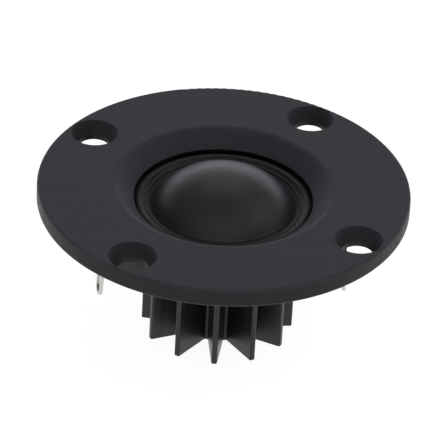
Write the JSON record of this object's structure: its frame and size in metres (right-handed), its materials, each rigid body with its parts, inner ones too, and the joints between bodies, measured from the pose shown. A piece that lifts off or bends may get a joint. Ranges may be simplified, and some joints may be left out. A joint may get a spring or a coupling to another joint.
{
  "type": "dome tweeter",
  "caption": "Flush-mount dome tweeter: round countersunk faceplate with a short horn, soft dome, neodymium motor in a steel cup, finned heat sink and two push-on terminals.",
  "frame": {"origin": "centre of the flange's rear mounting face, on the tweeter's axis", "axes": "+Z out of the front, the way the sound leaves; +X towards the wide terminal"},
  "size_m": [0.054, 0.054, 0.0257],
  "materials": {
    "faceplate_plastic": "black moulded ABS, finely textured satin",
    "ring_plastic": "black moulded nylon, smoother satin",
    "gasket_foam": "black closed-cell foam",
    "diaphragm_fabric": "black coated textile, satin",
    "clear_glue": "cured amber adhesive",
    "former_foil": "rolled foil",
    "copper_winding": "enamelled copper wire",
    "felt": "grey wool felt",
    "zinc_plated_steel": "bright zinc plate with a faint blue and yellow passivation",
    "nickel_plated_magnet": "nickel plate",
    "black_epoxy": "glossy cured epoxy",
    "thermal_glue": "grey filled adhesive",
    "black_anodised_aluminium": "black anodised, faint die lines",
    "tinned_brass": "dull tin plate over brass",
    "copper_lead": "tinsel lead",
    "solder": "bright solder"
  },
  "bodies": {
    "housing": {"faceplate": "faceplate_plastic", "front_gasket": "gasket_foam", "surround": "diaphragm_fabric", "diaphragm_ring": "ring_plastic", "damping_pad": "felt", "pole_piece": "zinc_plated_steel", "magnet": "nickel_plated_magnet", "magnet_glue": "clear_glue", "motor_cup": "zinc_plated_steel", "terminal_ring": "ring_plastic", "retaining_glue": "black_epoxy", "heat_sink_glue": "thermal_glue", "heat_sink": "black_anodised_aluminium", "terminal_tab_positive": "tinned_brass", "terminal_lug_negative": "tinned_brass", "fixed_lead_positive": "copper_lead", "fixed_lead_negative": "copper_lead", "flexible_lead_positive": "copper_lead", "flexible_lead_negative": "copper_lead", "solder_joint_positive": "solder", "solder_joint_negative": "solder"},
    "diaphragm": {"dome": "diaphragm_fabric", "dome_glue": "clear_glue", "coil_former": "former_foil", "voice_coil": "copper_winding"}
  },
  "joints": [
    {"name": "diaphragm_travel", "type": "slide", "parent": "housing", "child": "diaphragm", "axis": [0, 0, 1], "range_m": [-0.0005, 0.0005], "stiffness_N_per_m": 200, "deforming": ["surround", "flexible_lead_positive", "flexible_lead_negative"]}
  ]
}
